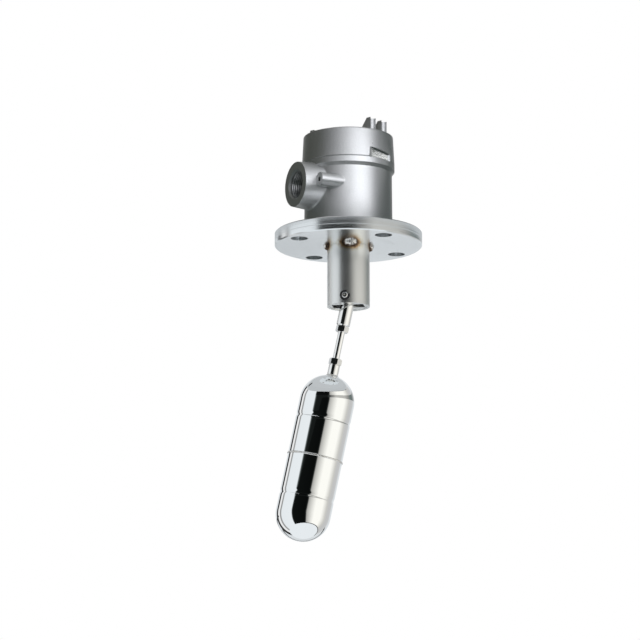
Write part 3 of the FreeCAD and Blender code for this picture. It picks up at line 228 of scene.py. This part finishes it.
for name, direction, distance, height, size, power in (
        ("key_lamp", 24.0, 1.3, 0.9, 0.9, 26.0),
        ("fill_lamp", -70.0, 1.6, 0.5, 1.2, 12.0),
        ("low_lamp", 60.0, 1.4, -0.7, 1.0, 9.0)):
    lamp_data = bpy.data.lights.new(name, "AREA")
    lamp_data.shape = "DISK"
    lamp_data.size = size
    lamp_data.energy = power
    lamp = bpy.data.objects.new(name, lamp_data)
    lamp.location = towards(direction, distance, height)
    lamp.rotation_euler = lamp.location.to_track_quat("Z", "Y").to_euler()
    lamp.visible_glossy = False
    scene.collection.objects.link(lamp)

room = bpy.data.worlds.new("room")
room.use_nodes = True
scene.world = room
tree = room.node_tree
tree.nodes.clear()
seen = tree.nodes.new("ShaderNodeLightPath")
camera_or_mirror = tree.nodes.new("ShaderNodeMath")
camera_or_mirror.operation = "MAXIMUM"
tree.links.new(seen.outputs["Is Camera Ray"], camera_or_mirror.inputs[0])
tree.links.new(seen.outputs["Is Glossy Ray"], camera_or_mirror.inputs[1])
any_straight = tree.nodes.new("ShaderNodeMath")
any_straight.operation = "MAXIMUM"
tree.links.new(camera_or_mirror.outputs[0], any_straight.inputs[0])
tree.links.new(seen.outputs["Is Transmission Ray"], any_straight.inputs[1])
room_colour = tree.nodes.new("ShaderNodeMix")
room_colour.data_type = "RGBA"
room_colour.inputs["A"].default_value = room_shade
room_colour.inputs["B"].default_value = room_white
tree.links.new(any_straight.outputs[0], room_colour.inputs["Factor"])
background = tree.nodes.new("ShaderNodeBackground")
tree.links.new(room_colour.outputs["Result"], background.inputs["Color"])
world_output = tree.nodes.new("ShaderNodeOutputWorld")
tree.links.new(background.outputs["Background"], world_output.inputs["Surface"])

# The flange
# A round plate of stainless steel with four bolt holes, faced and turned on a lathe.
# Fine rings from the tool run round both faces and the rim, with coarser ones low on the rim,
# and the tool has chattered faintly in three places on the lower face.
flange_colour = (0.80, 0.82, 0.83, 1.0)
flange_roughness = 0.14
upright = (0.0, 0.0, 1.0)
rim_line_pitch, rim_line_depth = 0.0011, 0.00006
chatter_rings = (0.0352, 0.0380, 0.0405)
chatter_colour = (0.45, 0.47, 0.48, 1.0)


class Finish:
    """A material in the making: its shader, and short calls that add what drives it."""

    def __init__(self, name, colour, metallic=1.0, roughness=0.3, **settings):
        self.material = bpy.data.materials.new(name)
        self.material.use_nodes = True
        self.tree = self.material.node_tree
        self.shader = self.tree.nodes["Principled BSDF"]
        self.shader.inputs["Base Color"].default_value = colour
        self.shader.inputs["Metallic"].default_value = metallic
        self.shader.inputs["Roughness"].default_value = roughness
        for label, value in settings.items():
            self.shader.inputs[label.replace("_", " ")].default_value = value
        self.height = None

    def node(self, kind, inputs=(), **settings):
        made = self.tree.nodes.new("ShaderNode" + kind)
        for label, value in settings.items():
            setattr(made, label, value)
        for socket, value in dict(inputs).items():
            if isinstance(value, bpy.types.NodeSocket):
                self.tree.links.new(value, made.inputs[socket])
            else:
                made.inputs[socket].default_value = value
        return made

    def math(self, operation, first, second=0.0):
        return self.node("Math", {0: first, 1: second}, operation=operation).outputs[0]

    def place(self, point=(0, 0, 0), axis=upright, scale=(1, 1, 1)):
        """Places in metres from a point, with Z along the axis."""
        here = self.node("TexCoord").outputs["Object"]
        turn = Vector(axis).to_track_quat("Z", "Y").to_euler()
        local = self.node("Mapping", {"Vector": here, "Location": point, "Rotation": turn},
                          vector_type="TEXTURE").outputs[0]
        return self.node("VectorMath", {0: local, 1: scale}, operation="MULTIPLY").outputs[0]

    def round_place(self, point=(0, 0, 0), axis=upright):
        """Radius, angle and height about an axis."""
        parts = self.node("SeparateXYZ", {0: self.place(point, axis)})
        x, y, z = parts.outputs
        flat = self.node("CombineXYZ", {0: x, 1: y}).outputs[0]
        radius = self.node("VectorMath", {0: flat}, operation="LENGTH").outputs["Value"]
        return radius, self.math("ARCTAN2", y, x), z

    def noise(self, vector, scale, detail=2.0, roughness=0.5):
        made = self.node("TexNoise", {"Vector": vector, "Scale": scale, "Detail": detail,
                                      "Roughness": roughness})
        return made.outputs["Fac"]

    def range(self, value, low, high, from_low=0.3, from_high=0.7):
        made = self.node("MapRange", {"Value": value, "From Min": from_low, "From Max": from_high,
                                      "To Min": low, "To Max": high})
        return made.outputs["Result"]

    def blend(self, amount, first, second):
        made = self.node("Mix", {"Factor": amount, "A": first, "B": second}, data_type="RGBA")
        return made.outputs["Result"]

    def colour(self, socket):
        self.tree.links.new(socket, self.shader.inputs["Base Color"])

    def roughness(self, socket):
        self.tree.links.new(socket, self.shader.inputs["Roughness"])

    def bump(self, height, distance, strength=1.0):
        """Raise the surface by height times distance metres, on top of what came before."""
        inputs = {"Height": height, "Distance": distance, "Strength": strength}
        if self.height:
            inputs["Normal"] = self.height
        self.height = self.node("Bump", inputs).outputs["Normal"]
        self.tree.links.new(self.height, self.shader.inputs["Normal"])

    def put_on(self, *names):
        for name in names:
            for slot in nodes[name].material_slots:
                slot.material = self.material


def turned(finish, point=(0, 0, 0), axis=upright, pitch=0.0004, depth=0.000004):
    """Fine rings left by a turning tool about an axis, on flat faces and on round ones."""
    radius, angle, height = finish.round_place(point, axis)
    drift = finish.math("MULTIPLY", angle, 0.02)
    along = finish.math("DIVIDE", radius, pitch)
    up = finish.math("DIVIDE", height, pitch)
    rings = finish.node("CombineXYZ", {0: along, 1: drift, 2: up}).outputs[0]
    lines = finish.noise(rings, 1.0, 3.0)
    finish.bump(lines, depth)
    return lines, radius, angle, height


flange_finish = Finish("flange_turned_steel", flange_colour, roughness=flange_roughness,
                       Anisotropic=0.5)
lines, radius, angle, height = turned(flange_finish)
flange_finish.roughness(flange_finish.range(lines, flange_roughness, flange_roughness + 0.1))
up_the_rim = flange_finish.math("DIVIDE", height, rim_line_pitch)
rim_lines = flange_finish.noise(flange_finish.node("CombineXYZ", {2: up_the_rim}).outputs[0],
                                1.0, 1.0)
low_on_rim = flange_finish.math("MULTIPLY", flange_finish.range(radius, 0, 1, 0.0640, 0.0645),
                                flange_finish.range(height, 1, 0, 0.0050, 0.0056))
flange_finish.bump(flange_finish.math("MULTIPLY", rim_lines, low_on_rim), rim_line_depth)
patchy = flange_finish.noise(flange_finish.place(), 26.0, 1.0)
ring_shade = flange_finish.range(patchy, 0.0, 0.55, 0.5, 0.56)
chatter = 0.0
for ring_radius in chatter_rings:
    from_ring = flange_finish.math("ABSOLUTE", flange_finish.math("SUBTRACT", radius, ring_radius))
    ring = flange_finish.range(from_ring, 1, 0, 0.0001, 0.00035)
    chatter = flange_finish.math("MAXIMUM", chatter,
                                 flange_finish.math("MULTIPLY", ring, ring_shade))
flange_finish.colour(flange_finish.blend(chatter, flange_colour, chatter_colour))
flange_finish.put_on("flange")

# The partition well
# A thin closed tube of stainless steel, pressed into the flange's bore and welded round its rim.
# It parts the tank from the housing, and the magnets act through its wall.
well_finish = Finish("well_drawn_steel", (0.70, 0.71, 0.70, 1.0), roughness=0.25)
turned(well_finish, pitch=0.0006)
well_finish.put_on("partition_well")

# The pivot sleeve and arm guide
# A length of stainless tube with a satin ground finish, tacked to the flange by four welds.
# The heat of each weld has left rings of straw, brown and blue on the steel beside it.
sleeve_colour = (0.76, 0.77, 0.76, 1.0)
sleeve_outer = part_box("pivot_sleeve")[1].x
weld_turn = math.radians(-75.0)
weld_step = math.radians(90.0)


def heat_tint(finish, base, at_height):
    """Colour rings about each of the four tacks, which stand a quarter turn apart."""
    radius, angle, height = finish.round_place()
    from_first = finish.math("ADD", angle, weld_step * 4.5 - weld_turn)
    folded = finish.math("SUBTRACT", finish.math("MODULO", from_first, weld_step), weld_step / 2)
    sideways = finish.math("MULTIPLY", finish.math("MULTIPLY", folded, radius), 0.62)
    lengthways = finish.math("SUBTRACT", height, at_height)
    spread = finish.node("CombineXYZ", {0: sideways, 1: lengthways}).outputs[0]
    away = finish.node("VectorMath", {0: spread}, operation="LENGTH").outputs["Value"]
    wobble = finish.noise(finish.place(), 400.0, 3.0)
    reach = finish.math("ADD", away, finish.range(wobble, -0.0008, 0.0008))
    ramp = finish.node("ValToRGB", {"Fac": finish.math("MULTIPLY", reach, 100.0)})
    ramp.color_ramp.elements[0].position = 0.42
    ramp.color_ramp.elements[0].color = (0.13, 0.09, 0.06, 1.0)
    ramp.color_ramp.elements[1].position = 0.9
    ramp.color_ramp.elements[1].color = base
    for position, tint in ((0.5, (0.34, 0.22, 0.13, 1.0)), (0.58, (0.55, 0.42, 0.26, 1.0)),
                           (0.66, (0.58, 0.55, 0.52, 1.0)), (0.72, (0.70, 0.68, 0.60, 1.0))):
        element = ramp.color_ramp.elements.new(position)
        element.color = tint
    finish.colour(ramp.outputs["Color"])


sleeve_finish = Finish("sleeve_ground_steel", sleeve_colour, roughness=0.32, Anisotropic=0.4)
turned(sleeve_finish, pitch=0.0003, depth=0.000003)
heat_tint(sleeve_finish, sleeve_colour, 0.0)
sleeve_finish.put_on("pivot_sleeve")
guide_finish = Finish("guide_plate_steel", sleeve_colour, roughness=0.3)
turned(guide_finish, pitch=0.0005)
guide_finish.put_on("arm_guide")

# The sleeve's tack welds
# Short beads of bright weld metal in the corner between the sleeve and the flange.
# Each one froze in small ripples, browned at its ends.
weld_count = 4
weld_arc = math.radians(38.0)
weld_down = 0.0040
weld_out = 0.0031
weld_ripples, weld_ripple_share, weld_ripple_bow = 3.5, 0.09, 1.3
weld_wander = 0.12
relief_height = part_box("pivot_sleeve")[1].z
bright_weld = (0.80, 0.79, 0.77, 1.0)
burnt_weld = (0.09, 0.06, 0.04, 1.0)


def surface(name, rows, columns, point, inward=False):
    """A mesh of rows by columns. point gives the place for two shares from 0 to 1."""
    vertices = [point(row / (rows - 1), column / (columns - 1))
                for row in range(rows) for column in range(columns)]
    faces = [(row * columns + column, row * columns + column + 1,
              (row + 1) * columns + column + 1, (row + 1) * columns + column)
             for row in range(rows - 1) for column in range(columns - 1)]
    if inward:
        faces = [tuple(reversed(face)) for face in faces]
    return link_mesh(name, vertices, faces)


def tack_bead(number):
    """One bead: thickest in the middle, with the crescent ripples of a pool that froze."""
    def point(across, along):
        side = 2 * along - 1
        wander = 1 + weld_wander * math.sin(3.1 * side + number * 2)
        fade = math.sqrt(max(0.0, 1 - side * side)) * wander
        bow = weld_ripple_bow * (2 * across - 1) ** 2
        ripple = 1 + weld_ripple_share * math.sin(math.tau * (weld_ripples * side - bow))
        turn = math.pi / 2 * across
        radius = sleeve_outer + weld_out * fade * ripple * math.sin(turn)
        angle = weld_turn + weld_step * number + side * weld_arc / 2
        return Vector((radius * math.cos(angle), radius * math.sin(angle),
                       relief_height - weld_down * fade * ripple * math.cos(turn)))
    return surface(f"tack_weld_{number + 1}", 15, 61, point)


weld_finish = Finish("tack_weld_metal", bright_weld, roughness=0.22)
weld_angle, weld_height = weld_finish.round_place()[1:]
from_first = weld_finish.math("ADD", weld_angle, weld_step * 4.5 - weld_turn)
folded = weld_finish.math("SUBTRACT", weld_finish.math("MODULO", from_first, weld_step),
                          weld_step / 2)
crosswise = weld_finish.math("DIVIDE", folded, weld_arc / 2)
downward = weld_finish.math("DIVIDE", weld_height, weld_down)
from_middle = weld_finish.node("VectorMath", {0: weld_finish.node(
    "CombineXYZ", {0: crosswise, 1: downward}).outputs[0]}, operation="LENGTH").outputs["Value"]
swirl = weld_finish.noise(weld_finish.place(), 520.0, 2.0)
burnt = weld_finish.math("ADD", from_middle, weld_finish.range(swirl, -0.22, 0.22))
weld_finish.colour(weld_finish.blend(weld_finish.range(burnt, 0, 1, 0.62, 0.86),
                                     bright_weld, burnt_weld))
weld_finish.bump(swirl, 0.0003)
for number in range(weld_count):
    bead = tack_bead(number)
    bead.data.materials.append(weld_finish.material)
    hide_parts("sleeve_welds")
    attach(bead, "case")

# The pivot pin, its clips and spacers
# A ground pin across the sleeve, held at each end by a black spring clip.
# The washers on it keep the arm in the middle of the sleeve.
pin_finish = Finish("pin_ground_steel", (0.78, 0.78, 0.77, 1.0), roughness=0.18)
pin_finish.bump(pin_finish.noise(pin_finish.place(scale=(1, 0.05, 1)), 4000.0), 0.000003)
pin_finish.put_on("pivot_pin", "pivot_spacers", "lever_pin")
clip_finish = Finish("clip_black_steel", (0.02, 0.02, 0.022, 1.0), metallic=0.4, roughness=0.4)
clip_finish.roughness(clip_finish.range(clip_finish.noise(clip_finish.place(), 1500.0), 0.32, 0.5))
clip_finish.put_on("pin_clip_front", "pin_clip_rear")

# The float arm, magnet holder, rod, nuts and stem
# Bright turned stainless steel, screwed together along one tilted line.
# The arm turns on the pin, and the nuts lock the rod at each end.
arm_turn = math.radians(12.0)
arm_axis = (math.sin(arm_turn), 0.0, math.cos(arm_turn))
arm_pivot = (0.0, 0.0, -0.048)
arm_frame = Matrix.Rotation(arm_turn, 3, "Y")
bright_colour = (0.84, 0.84, 0.83, 1.0)
arm_finish = Finish("arm_bright_steel", bright_colour, roughness=0.09)
turned(arm_finish, arm_pivot, arm_axis, pitch=0.0005, depth=0.000003)
arm_finish.put_on("float_arm", "magnet_holder", "float_rod", "float_stem")
nut_finish = Finish("nut_bright_steel", bright_colour, roughness=0.12)
nut_finish.bump(nut_finish.noise(nut_finish.place(), 700.0), 0.00001)
nut_finish.put_on("lock_nut_upper", "lock_nut_lower")
magnet_finish = Finish("magnet_plated", (0.32, 0.33, 0.35, 1.0), roughness=0.28)
magnet_finish.bump(magnet_finish.noise(magnet_finish.place(), 2500.0), 0.00001)
magnet_finish.put_on("arm_magnet", "switch_magnet")

# The float
# Two drawn shells of thin stainless steel, welded round the middle and polished like a mirror.
# Each has one rolled bead that stiffens it. Hand polishing leaves the walls very slightly wavy.
float_radius = 0.024
float_length = 0.1484
float_top = 0.0693
bead_from_middle = 0.0346
bead_half_width = 0.0026
bead_depth = 0.0005
stem_radius = 0.0049
around = 160


def on_arm(radius, turn, along):
    """A place at a distance down the arm from its pivot."""
    side = Vector((math.cos(turn) * radius, math.sin(turn) * radius, -along))
    return arm_frame @ side + Vector(arm_pivot)


def lathe(name, profile, steps=around):
    """A turned mesh about the arm's line. profile: (radius, distance from the pivot)."""
    vertices = [on_arm(radius, math.tau * step / steps, along)
                for radius, along in profile for step in range(steps)]
    faces = [(row * steps + step, row * steps + (step + 1) % steps,
              (row + 1) * steps + (step + 1) % steps, (row + 1) * steps + step)
             for row in range(len(profile) - 1) for step in range(steps)]
    return link_mesh(name, vertices, faces)


def shell_profile(side):
    """Outside of one shell from the seam to its round end. side: -1 above the seam, 1 below."""
    middle = float_top + float_length / 2
    ball = float_length / 2 - float_radius
    points = []
    wall_steps = 60
    for step in range(wall_steps):
        along = ball * step / wall_steps
        from_bead = abs(along - bead_from_middle) / bead_half_width
        dip = bead_depth * (1 + math.cos(math.pi * min(1.0, from_bead))) / 2
        points.append((float_radius - dip, middle + side * along))
    dome_steps = 40
    least = stem_radius * 0.9 if side < 0 else 0.00002
    for step in range(dome_steps + 1):
        turn = math.pi / 2 * step / dome_steps
        radius = max(least, float_radius * math.cos(turn))
        reach = math.sqrt(float_radius ** 2 - radius ** 2)
        points.append((radius, middle + side * (ball + reach)))
        if radius == least:
            break
    return points


float_finish = Finish("float_mirror_steel", (0.87, 0.88, 0.88, 1.0), roughness=0.035)
float_place = float_finish.place(arm_pivot, arm_axis, (1, 1, 0.35))
float_finish.bump(float_finish.noise(float_place, 55.0, 1.0), 0.00008)
float_finish.bump(float_finish.noise(float_place, 6000.0, 2.0), 0.0000006)
for shell, side in (("upper", -1), ("lower", 1)):
    skin = lathe(f"float_{shell}_skin", shell_profile(side))
    if side < 0:
        skin.data.flip_normals()
    skin.data.materials.append(float_finish.material)
    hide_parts(f"float_shell_{shell}")
    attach(skin, "float")

# The float's welds
# A narrow seam of small ripples joins the two shells, and a fillet joins the stem to the upper one.
seam_half_width = 0.0009
seam_height = 0.00066
seam_ripples, seam_ripple_share, seam_ripple_bow = 118, 0.2, 2.2
seam_sink = 0.00004
seam_finish = Finish("seam_weld_metal", (0.74, 0.735, 0.715, 1.0), roughness=0.2)
seam_cloud = seam_finish.noise(seam_finish.place(), 240.0, 2.0)
seam_finish.colour(seam_finish.blend(seam_finish.range(seam_cloud, 0.0, 0.6, 0.45, 0.7),
                                     (0.76, 0.755, 0.74, 1.0), (0.42, 0.38, 0.33, 1.0)))
seam_finish.bump(seam_finish.noise(seam_finish.place(), 1500.0), 0.00004)


def seam_point(across, round_it):
    side = 2 * across - 1
    turn = math.tau * round_it
    ripple = 1 + seam_ripple_share * math.sin(seam_ripples * turn + seam_ripple_bow * side * side)
    rise = seam_height * math.sqrt(max(0.0, 1 - side * side)) * min(1.06, ripple)
    return on_arm(float_radius - seam_sink + rise, turn, float_top + float_length / 2
                  + side * seam_half_width)


seam = surface("float_seam", 9, seam_ripples * 6 + 1, seam_point)
seam.data.materials.append(seam_finish.material)
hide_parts("float_weld_ring")
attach(seam, "float")
seam_finish.put_on("stem_weld")

# The housing
# A casting with a matt blasted skin, machined at the conduit mouth and on the neck's thread.
# It carries the conduit boss and a small boss for the earth screw.
cast_colour = (0.60, 0.615, 0.61, 1.0)
cast_light = (0.67, 0.68, 0.68, 1.0)
cast_finish = Finish("cast_blasted_metal", cast_colour, roughness=0.42)
cast_place = cast_finish.place()
grain = cast_finish.noise(cast_place, 2600.0, 3.0, 0.65)
pebble = cast_finish.noise(cast_place, 750.0, 2.0)
cloud = cast_finish.noise(cast_place, 60.0, 4.0)
cast_finish.bump(grain, 0.00006, 0.6)
cast_finish.bump(pebble, 0.00016, 0.6)
cast_finish.bump(cloud, 0.0002, 0.35)
mottle = cast_finish.math("ADD", cast_finish.range(cloud, 0, 0.6), cast_finish.range(pebble, 0, 0.4))
cast_finish.colour(cast_finish.blend(mottle, cast_colour, cast_light))
cast_finish.put_on("housing_body")

# The cover
# Cast like the housing. The two notches for a hook spanner are milled, so they are bright.
notch_turn = math.radians(-31.0)
notch_floor = 0.0386
notch_half_length = 0.0125
cover_bottom, notch_top = 0.0728, 0.0855
milled_roughness = 0.12
notch_axis = (math.cos(notch_turn), math.sin(notch_turn), 0.0)
out_parts = cast_finish.node("SeparateXYZ", {0: cast_finish.place(axis=notch_axis)}).outputs
up_part = cast_finish.node("SeparateXYZ", {0: cast_finish.place()}).outputs["Z"]
near_axis = cast_finish.math("LESS_THAN", cast_finish.math("ABSOLUTE", out_parts[2]), notch_floor)
flat_length = cast_finish.node("VectorMath", {0: cast_finish.place(scale=(1, 1, 0)),
                                              1: notch_axis}, operation="CROSS_PRODUCT").outputs[0]
aside = cast_finish.node("VectorMath", {0: flat_length}, operation="LENGTH").outputs["Value"]
between = cast_finish.math("LESS_THAN", aside, notch_half_length)
from_notch = cast_finish.math("ABSOLUTE", cast_finish.math(
    "SUBTRACT", up_part, (cover_bottom + notch_top) / 2))
level = cast_finish.math("LESS_THAN", from_notch, (notch_top - cover_bottom) / 2)
milled = cast_finish.math("MULTIPLY", cast_finish.math("MULTIPLY", near_axis, between), level)
blasted_roughness = cast_finish.range(grain, 0.38, 0.48)
cast_finish.roughness(cast_finish.node("Mix", {"Factor": milled, "A": blasted_roughness,
                                               "B": milled_roughness}).outputs["Result"])
cast_finish.put_on("housing_cover")

# The threads
# The conduit entry is tapped, and the neck carries the cover's thread. Both are true helices.
conduit_turn = math.radians(-142.0)
conduit_height = 0.0503
conduit_inner, conduit_outer = 0.0345, 0.0512
conduit_pitch = 0.001814
conduit_root, conduit_crest = 0.01204, 0.01155
neck_pitch = 0.002
neck_low, neck_high = 0.0742, 0.0832
neck_root, neck_crest = 0.03428, 0.03445


def helix(name, low, high, pitch, root, crest, columns, place, inward):
    """A thread's flanks between two ends. place(radius, turn, along) gives each corner."""
    rows = 4 * int((high - low) / pitch - 1) + 1
    depths = (root, crest, crest, root)

    def point(down, round_it):
        row = round(down * (rows - 1))
        along = min(high, low + pitch * (row / 4 + round_it))
        return place(depths[row % 4], math.tau * round_it, along)
    return surface(name, rows, columns, point, inward)


def in_conduit(radius, turn, along):
    side = radius * math.cos(turn)
    return Vector((along * math.cos(conduit_turn) - side * math.sin(conduit_turn),
                   along * math.sin(conduit_turn) + side * math.cos(conduit_turn),
                   conduit_height + radius * math.sin(turn)))


def on_neck(radius, turn, along):
    return Vector((radius * math.cos(turn), radius * math.sin(turn), along))


thread_finish = Finish("thread_cut_metal", (0.60, 0.615, 0.61, 1.0), roughness=0.28)
thread_finish.bump(thread_finish.noise(thread_finish.place(), 1800.0), 0.00002)
for thread in (
        helix("conduit_thread", conduit_inner, conduit_outer, conduit_pitch, conduit_root,
              conduit_crest, 97, in_conduit, True),
        helix("neck_thread", neck_low, neck_high, neck_pitch, neck_root, neck_crest, 181,
              on_neck, False)):
    thread.data.materials.append(thread_finish.material)
    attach(thread, "case")

# The sealing rings
# Black rubber cords, one in a groove under the housing and one round its neck.
rubber_finish = Finish("ring_black_rubber", (0.015, 0.015, 0.016, 1.0), 0.0, 0.5)
rubber_finish.bump(rubber_finish.noise(rubber_finish.place(), 3000.0), 0.00001)
rubber_finish.put_on("base_o_ring", "cover_o_ring")

# The screws
# Plain stainless cap screws, bright and slightly dulled by handling.
screw_finish = Finish("screw_steel", (0.66, 0.66, 0.65, 1.0), roughness=0.28)
screw_finish.roughness(screw_finish.range(screw_finish.noise(screw_finish.place(), 900.0), 0.2, 0.4))
screw_finish.put_on("housing_screws", "bracket_screws", "micro_switch_screws", "terminal_screws",
                    "inner_earth_screw")

# The switch bracket and lever
# A folded bracket of plated sheet, and a brass lever that carries the upper magnet.
sheet_finish = Finish("bracket_plated_sheet", (0.68, 0.69, 0.70, 1.0), roughness=0.35)
sheet_finish.bump(sheet_finish.noise(sheet_finish.place(), 1200.0), 0.00001)
sheet_finish.put_on("switch_bracket")
brass_finish = Finish("lever_brass", (0.72, 0.52, 0.24, 1.0), roughness=0.3)
brass_finish.bump(brass_finish.noise(brass_finish.place(scale=(0.1, 1, 1)), 3000.0), 0.00001)
brass_finish.put_on("switch_lever", "switch_blades", "terminal_plates")

# The micro switch and terminal block
# Moulded plastic, black for the switch, red for its button and grey for the block.
for name, colour, pieces in (
        ("switch_black_plastic", (0.025, 0.025, 0.028, 1.0), ["micro_switch"]),
        ("button_red_plastic", (0.45, 0.03, 0.02, 1.0), ["switch_button"]),
        ("block_grey_plastic", (0.55, 0.54, 0.50, 1.0), ["terminal_block"])):
    moulded = Finish(name, colour, 0.0, 0.42)
    fine = moulded.noise(moulded.place(), 2200.0, 3.0)
    moulded.bump(fine, 0.00002)
    moulded.roughness(moulded.range(fine, 0.36, 0.5))
    moulded.put_on(*pieces)
